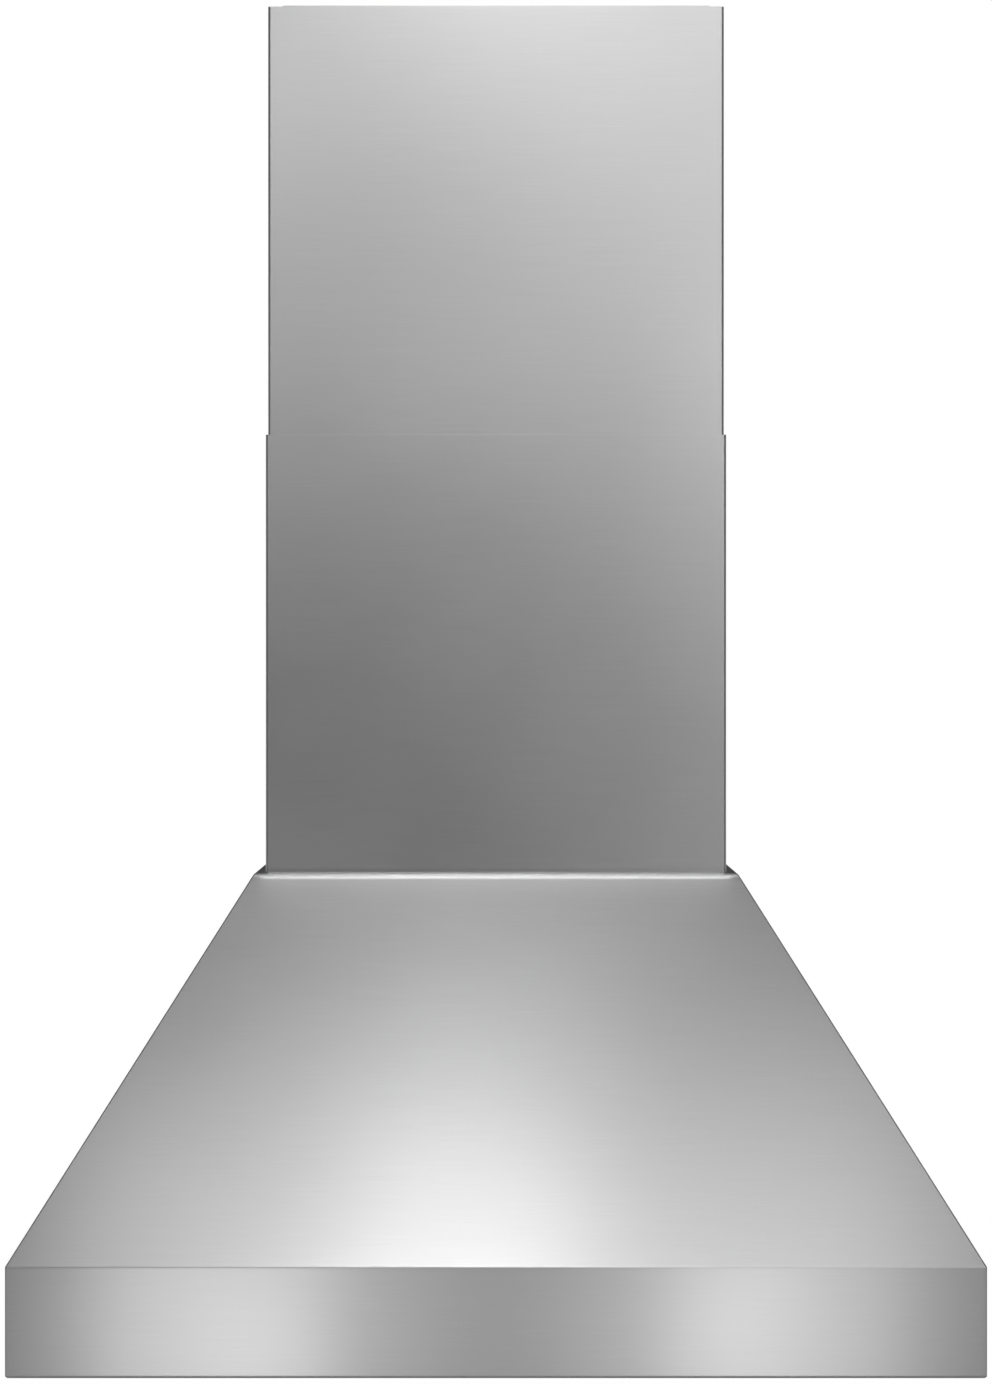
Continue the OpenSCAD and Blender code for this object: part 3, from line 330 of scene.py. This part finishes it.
def sweep(bm, rows, path=u_path):
    """Closed skin over rows of (half width, depth, height, corner radius), each laid on a plan."""
    grid = [[bm.verts.new(at(x, p, h)) for x, p in path(half, depth, radius)]
            for half, depth, h, radius in rows]
    for a, b in zip(grid, grid[1:] + grid[:1]):
        for j in range(len(a) - 1):
            bm.faces.new((a[j], a[j + 1], b[j + 1], b[j]))
    for end in (0, -1):
        bm.faces.new([row[end] for row in grid])


def slope_of(run):
    return math.atan2(CANOPY_H - LIP_H, run)


def section(reach, run, bend_r):
    """Function giving the canopy's distance from its middle or from the wall at a height."""
    slope = slope_of(run)
    fold_p = reach - FOLD_R
    fold_z = LIP_H - FOLD_R * math.tan((math.pi / 2 - slope) / 2)
    bend_p, bend_z = reach - run - bend_r * math.tan(slope / 2), CANOPY_H - bend_r
    normal = (math.sin(slope), math.cos(slope))

    def distance(h, inset):
        r, s = bend_r - inset, FOLD_R - inset
        top = bend_z + r * normal[1]
        low = fold_z + s * normal[1]
        if h >= top:
            return bend_p + math.sqrt(max(0.0, r * r - (h - bend_z) ** 2))
        if h >= low:
            return fold_p + s * normal[0] - (h - low) * normal[1] / normal[0]
        if h >= fold_z:
            return fold_p + math.sqrt(max(0.0, s * s - (h - fold_z) ** 2))
        if h >= FOLD_R:
            return reach - inset
        return reach - FOLD_R + math.sqrt(max(0.0, s * s - (h - FOLD_R) ** 2))
    return distance


def canopy_rows(inset, corner_r):
    """Rows of the canopy's outer or inner skin, from its flat top down to the inner skirt."""
    side = section(HOOD_W / 2, SIDE_RUN, SIDE_BEND_R)
    front = section(HOOD_D, FRONT_RUN, BEND_R)
    r, s = BEND_R - inset, FOLD_R - inset
    heights = [CANOPY_H - BEND_R + r * math.cos(slope_of(FRONT_RUN) * i / BEND_STEPS)
               for i in range(BEND_STEPS + 1)]
    side_top = (SIDE_BEND_R - inset) * math.cos(slope_of(SIDE_RUN))
    heights.append(CANOPY_H - SIDE_BEND_R + side_top)
    heights = sorted(heights, reverse=True) + SLOPE_ROWS
    fold = LIP_H - FOLD_R * math.tan(math.radians(HALF_FOLD))
    heights += [fold + s * math.sin(math.radians(a)) for a in FOLD_ANGLES]
    heights += [LIP_ROW, FOLD_R]
    heights += [FOLD_R - s * math.sin(math.radians(a)) for a in LOW_FOLD_ANGLES]
    rows = [(side(h, inset), front(h, inset), h, corner_r) for h in heights]
    top = rows[0]
    rows.insert(0, (top[0] - BEND_FLAT, top[1] - BEND_FLAT, top[2], corner_r))
    foot_x, foot_p = HOOD_W / 2 - FOOT, HOOD_D - FOOT
    c = FOOT_FOLD_R - inset
    for a in SKIRT_ANGLES:
        k = FOOT_FOLD_R - c * math.sin(math.radians(a))
        h = FOOT_FOLD_R - c * math.cos(math.radians(a))
        rows.append((foot_x + k, foot_p + k, h, SKIRT_R))
    rows.append((foot_x + inset, foot_p + inset, SKIRT_H, SKIRT_R))
    return rows


# ---------- canopy ----------

def seam_depth(half):
    """Distance from the wall of the weld behind the hip, where the canopy is this wide."""
    share = 1 - BEND_R / (CANOPY_H - LIP_H)
    low = (HOOD_W / 2 - share * SIDE_RUN, HOOD_D - share * FRONT_RUN)
    if half >= low[0]:
        return HOOD_D - RETURN - (HOOD_W / 2 - half) * FRONT_RUN / SIDE_RUN
    top = canopy_rows(0.0, HIP_R)[0]
    return top[1] - RETURN + (half - top[0]) * (low[1] - top[1]) / (low[0] - top[0])


def front_path(half, depth, radius):
    """Plan of the front panel, which folds round both hips back to the welds."""
    right = [(half, seam_depth(half))] + corner(half, depth, radius)
    return bent(right, depth)


def side_path(half, depth, radius):
    """Plan of a side panel, from the wall to the weld."""
    seam = seam_depth(half) - SEAM
    return [(half, seam * f) for f in (0.0, 0.5, 1.0)]


def build_canopy():
    rows = canopy_rows(0.0, HIP_R) + list(reversed(canopy_rows(SHEET, HIP_INNER_R)))
    bm = bmesh.new()
    sweep(bm, rows, front_path)
    finish_piece("canopy_front_skin", bm, "hood", "canopy_front", CANOPY_CREASE)
    for name, side in (("left", -1), ("right", 1)):
        bm = bmesh.new()
        sweep(bm, rows, side_path)
        for vert in bm.verts:
            vert.co.x *= side
        finish_piece(f"canopy_{name}_skin", bm, "hood", f"canopy_side_{name}", CANOPY_CREASE)


# ---------- duct covers ----------

def wall_rows(half, depth, low, high, hem=0.0, foot=0.0):
    """Closed profile of a cover's wall, with or without a rolled hem and a foot flange."""
    t, r = COVER_T, COVER_FOOT_R
    rows = []

    def row(inward, h):
        rows.append((half - inward, depth - inward, h, max(COVER_R - inward, COVER_MIN_R)))

    def arc(radius, inward, h, way, angles):
        for a in map(math.radians, angles):
            row(inward - radius * math.cos(a), h + way * radius * math.sin(a))

    row(0, low + (r if foot else 0))
    row(0, high - (HEM_R if hem else RIM_EDGE))
    if hem:
        arc(HEM_R, HEM_R, high - HEM_R, 1, (30, 60, 90))
        row(2 * t - HEM_EDGE, high)
        row(2 * t, high - HEM_EDGE)
        row(2 * t, high - hem)
        row(t, high - hem)
    else:
        row(RIM_EDGE, high)
        row(t - RIM_EDGE, high)
        row(t, high - RIM_EDGE)
    if foot:
        arc(r - t, r, low + r, -1, (0, 30, 60, 90))
        row(foot, low + t)
        row(foot, low)
        arc(r, r, low + r, -1, (90, 60, 30))
    else:
        row(t, low)
    return rows


def build_lower_cover():
    bm = bmesh.new()
    low, high = CANOPY_H, CANOPY_H + LOWER_H
    sweep(bm, wall_rows(COVER_W / 2, COVER_D, low, high, HEM, COVER_FOOT))
    finish_piece("lower_cover_skin", bm, "hood", "lower_cover", COVER_CREASE)


def build_upper_cover():
    bm = bmesh.new()
    half, depth, t = COVER_W / 2 - INSET, COVER_D - INSET, COVER_T
    low, high = TOP_Z - UPPER_H, TOP_Z
    sweep(bm, wall_rows(half, depth, low, high - t))
    # flange folded in along the front, between the corner reliefs
    edge, back = half - FLANGE_RELIEF, depth - FLANGE_D
    e, cut = FLANGE_EDGE, FLANGE_CUT
    profile = [(depth, high - t - e), (depth, high - e), (depth - cut, high - cut),
               (depth - e, high), (back, high), (back, high - t),
               (depth - t, high - t), (depth - t, high - t - e)]
    ends = [[bm.verts.new(at(x, p, h)) for p, h in profile] for x in (-edge, edge)]
    for i in range(len(profile)):
        k = (i + 1) % len(profile)
        bm.faces.new((ends[0][i], ends[0][k], ends[1][k], ends[1][i]))
    for ring in ends:
        bm.faces.new(ring)
    finish_piece("upper_cover_skin", bm, "upper_cover", "upper_cover", COVER_CREASE)


build_canopy()
build_lower_cover()
build_upper_cover()

# ---------- carried nodes: materials, and softened edges ----------

SLOT_OF = {part["node"]: part["material_slot"] for part in frame["record"]["subparts"]}
# edge rounding in millimetres, and the nodes that have it
EDGES = {
    0.2: ["grease_tray", "duct_collar"],
    0.25: ["knob_bezels"],
    0.3: ["side_rail_left", "side_rail_right", "rear_rail", "tray_runners", "back_panel",
          "canopy_top", "lamp_trim_left", "lamp_trim_right", "junction_box", "junction_lid",
          "deck_screws", "cover_screws", "bracket_screws", "blower_flange"],
    0.35: ["control_panel"],
    0.4: ["cover_bracket", "fan_knob", "light_knob", "motor_bracket"],
    0.6: ["control_box"],
}
for side in ("left", "middle", "right"):
    for kind in ("frame", "lower_baffles", "upper_baffles", "ears"):
        EDGES[0.25].append(f"filter_{side}_{kind}")
EDGE_OF = {name: width for width, names in EDGES.items() for name in names}
MERGE = 0.00001
for name, obj in nodes.items():
    for place in obj.material_slots:
        place.material = MATERIALS[SLOT_OF[name]]
    if name in EDGE_OF:
        weld = obj.modifiers.new("weld", "WELD")
        weld.merge_threshold = MERGE
        soften = obj.modifiers.new("soften", "BEVEL")
        soften.width = EDGE_OF[name] * MM
        soften.segments = 2
        soften.limit_method = "ANGLE"
        soften.angle_limit = math.radians(NODE_CREASE)
        soften.use_clamp_overlap = True
        obj.modifiers.new("normals", "WEIGHTED_NORMAL")


# ---------- floor, light and camera ----------

# The floor's middle, radius, and the glow that makes it pale to the camera
FLOOR_Y, FLOOR_Z, FLOOR_R, FLOOR_GLOW = -0.3, -1.15, 2.6, 0.62
FLOOR_RINGS, FLOOR_SPOKES, FADE_START = 10, 64, 0.45


def build_floor():
    """Pale disc under the hood that fades out at its rim and is clear from below."""
    bm = bmesh.new()
    centre = bm.verts.new((0, FLOOR_Y, FLOOR_Z))
    turns = [2 * math.pi * k / FLOOR_SPOKES for k in range(FLOOR_SPOKES)]
    last = None
    for i in range(1, FLOOR_RINGS + 1):
        r = FLOOR_R * i / FLOOR_RINGS
        ring = [bm.verts.new((r * math.cos(a), FLOOR_Y + r * math.sin(a), FLOOR_Z)) for a in turns]
        for k in range(FLOOR_SPOKES):
            n = (k + 1) % FLOOR_SPOKES
            if last:
                bm.faces.new((last[k], ring[k], ring[n], last[n]))
            else:
                bm.faces.new((centre, ring[k], ring[n]))
        last = ring
    obj = new_object("floor", bm)
    mat, tree, shader = new_material("pale_floor", (0.86, 0.86, 0.86), 0.0, 0.9)
    out = tree.nodes["Material Output"]
    seen = add(tree, "ShaderNodeLightPath").outputs["Is Camera Ray"]
    shader.inputs["Emission Color"].default_value = (1, 1, 1, 1)
    tree.links.new(maths(tree, "MULTIPLY", seen, FLOOR_GLOW), shader.inputs["Emission Strength"])
    clear = add(tree, "ShaderNodeBsdfTransparent")
    geo = add(tree, "ShaderNodeNewGeometry")
    position = add(tree, "ShaderNodeTexCoord").outputs["Object"]
    flat = vector_maths(tree, "ADD", position, (0, -FLOOR_Y, 0))
    flat = vector_maths(tree, "MULTIPLY", flat, (1, 1, 0))
    length = add(tree, "ShaderNodeVectorMath", operation="LENGTH")
    tree.links.new(flat, length.inputs[0])
    fade = ramp(tree, length.outputs["Value"], FLOOR_R * FADE_START, FLOOR_R, 0, 1)
    gone = maths(tree, "MAXIMUM", fade, geo.outputs["Backfacing"])
    mix = add(tree, "ShaderNodeMixShader")
    tree.links.new(gone, mix.inputs[0])
    tree.links.new(shader.outputs[0], mix.inputs[1])
    tree.links.new(clear.outputs[0], mix.inputs[2])
    tree.links.new(mix.outputs[0], out.inputs["Surface"])
    obj.data.materials.append(mat)


def area(name, place, aim, size, power):
    """Rectangular lamp at a place in metres, turned to its aim, with its power in watts."""
    lamp = bpy.data.lights.new(name, "AREA")
    lamp.shape = "RECTANGLE"
    lamp.size, lamp.size_y = size
    lamp.energy = power
    obj = bpy.data.objects.new(name, lamp)
    obj.location = place
    obj.rotation_mode = "QUATERNION"
    obj.rotation_quaternion = (Vector(aim) - Vector(place)).to_track_quat("-Z", "Y")
    obj.visible_camera = False
    scene.collection.objects.link(obj)
    return obj


build_floor()
COVER_AIM = (0, -0.3, 0.9)
# name, place, aim, size, power: for the duct covers, the canopy's slope, the fold above the lip,
# the bend below the covers, and the back
LAMPS = [
    ("cover_a", (-0.4, -2.4, 1.3), COVER_AIM, (0.6, 0.5), 1.36),
    ("cover_b", (0.3, -2.4, 1.3), COVER_AIM, (0.6, 0.5), 1.81),
    ("cover_c", (0.3, -2.4, 1.9), COVER_AIM, (0.6, 0.5), 1.5),
    ("cover_d", (0.6, -1.2, 1.35), (0.2, -0.3, 0.9), (0.4, 0.3), 0.59),
    ("cover_e", (0.6, -2.4, 0.8), (0.2, -0.3, 0.5), (0.3, 0.3), 0.39),
    ("cover_f", (0.6, -2.4, 0.35), (0.2, -0.3, 0.4), (0.3, 0.3), 0.38),
    ("cover_g", (0.35, -2.4, 0.8), (0.2, -0.3, 0.6), (0.3, 0.3), 0.15),
    ("cover_h", (0.35, -2.4, 0.35), (0.2, -0.3, 0.4), (0.3, 0.3), 0.16),
    ("slope_a", (-0.4, -0.95, 0.75), (-0.28, -0.75, -0.25), (0.3, 0.3), 0.18),
    ("slope_b", (-0.4, -1.15, 1.1), (-0.28, -0.75, -0.25), (0.3, 0.3), 0.29),
    ("slope_c", (-0.05, -0.95, 0.75), (-0.035, -0.75, -0.25), (0.3, 0.3), 0.13),
    ("slope_d", (-0.05, -1.5, 1.7), (-0.035, -0.75, -0.25), (0.3, 0.3), 2.8),
    ("slope_e", (0.35, -0.95, 0.75), (0.245, -0.75, -0.25), (0.3, 0.3), 0.23),
    ("slope_f", (0.35, -1.5, 1.7), (0.245, -0.75, -0.25), (0.3, 0.3), 0.37),
    ("fold", (-0.05, -2.0, 2.3), (0, -0.61, -0.17), (0.8, 0.3), 1.8),
    ("bend", (0, -0.42, 2.3), (0, -0.34, 0.17), (1.6, 0.25), 0.5),
    ("back_top", (0, 1.0, 2.6), (0, -0.31, 0.18), (1.6, 0.4), 6),
    ("back_low", (0, 2.4, -0.9), (0, -0.2, 0), (2.4, 1.0), 12),
]
for side, x in (("left", -1), ("right", 1)):
    LAMPS.append((f"back_{side}", (1.9 * x, 2.0, 0), (0.2 * x, -0.3, 0.3), (1.2, 1.6), 8))
    LAMPS.append((f"low_{side}", (2.4 * x, -0.2, -0.8), (0.2 * x, -0.3, 0.2), (2.2, 0.9), 4))
# upright strips side by side in front of the lip, with each one's power from left to right
STRIP_W, STRIP_H, STRIP_Y, STRIP_Z = 0.12, 0.3, -1.1, -0.29
for i, power in enumerate((0.05, 0.16, 0.18, 0.08, 0.05, 0.08, 0.18, 0.13, 0.05)):
    x = STRIP_W * (i - 4)
    # neighbours stand 10 mm apart in depth, because lamps in one plane mustn't touch
    place = (x, STRIP_Y - 0.01 * (i % 2), STRIP_Z)
    LAMPS.append((f"strip_{i}", place, (x, -0.61, -0.24), (STRIP_W, STRIP_H), power))
for lamp in LAMPS:
    area(*lamp)
# a thin light for the front bend alone, whose reflection of the ceiling the duct cover blocks
edge = area("bend_edge", (0, -0.311, 0.217), (0, -0.325, 0.178), (0.47, 0.012), 0.038)
bend_only = bpy.data.collections.new("bend_only")
bend_only.objects.link(bpy.data.objects["canopy_front_skin"])
edge.light_linking.receiver_collection = bend_only

# The camera sees plain white. Metal mirrors a dark room with dim side walls, a pale ground that
# ends towards the front, and a pale sky to both sides of the front.
world = bpy.data.worlds.new("studio")
scene.world = world
world.use_nodes = True
tree = world.node_tree
back = tree.nodes["Background"]
back.inputs["Color"].default_value = (1, 1, 1, 1)
split = add(tree, "ShaderNodeSeparateXYZ")
tree.links.new(add(tree, "ShaderNodeTexCoord").outputs["Generated"], split.inputs[0])
x = maths(tree, "ABSOLUTE", split.outputs["X"])
y, z = split.outputs["Y"], split.outputs["Z"]
walls = ramp(tree, x, 0.7, 1.0, 0.04, 0.18)
ground = maths(tree, "MULTIPLY", ramp(tree, z, -0.22, -0.06, 0.28, 0.0),
               ramp(tree, y, -0.97, -0.8, 0.0, 1.0))
sky = maths(tree, "MULTIPLY", ramp(tree, x, 0.3, 0.6, 0.0, 0.4),
            ramp(tree, z, 0.3, 0.55, 0.0, 1.0))
sky = maths(tree, "MULTIPLY", sky, ramp(tree, y, -0.1, 0.3, 1.0, 0.0))
strength = add(tree, "ShaderNodeLightPath").outputs["Is Camera Ray"]
for part in (walls, ground, sky):
    strength = maths(tree, "MAXIMUM", strength, part)
tree.links.new(strength, back.inputs["Strength"])

# The photo's height, focal length and horizon row, in pixels, and where it was taken from:
# the distance from the wall in metres and the height above the bottom edge in millimetres
FRAME_H, FOCAL, HORIZON = 1384, 4752, 668
EYE_DISTANCE, EYE_H = 5.030, 661.0
camera = bpy.data.cameras.new("camera")
camera.sensor_width = 36
camera.lens = camera.sensor_width * FOCAL / FRAME_H
camera.shift_y = (HORIZON - FRAME_H / 2) / FRAME_H
camera.clip_start, camera.clip_end = 0.1, 60
eye = bpy.data.objects.new("camera", camera)
eye.location = (0, -EYE_DISTANCE, (EYE_H - ANCHOR) * MM)
eye.rotation_euler = (math.radians(90), 0, 0)
scene.collection.objects.link(eye)
scene.camera = eye
scene.view_settings.view_transform = "Standard"
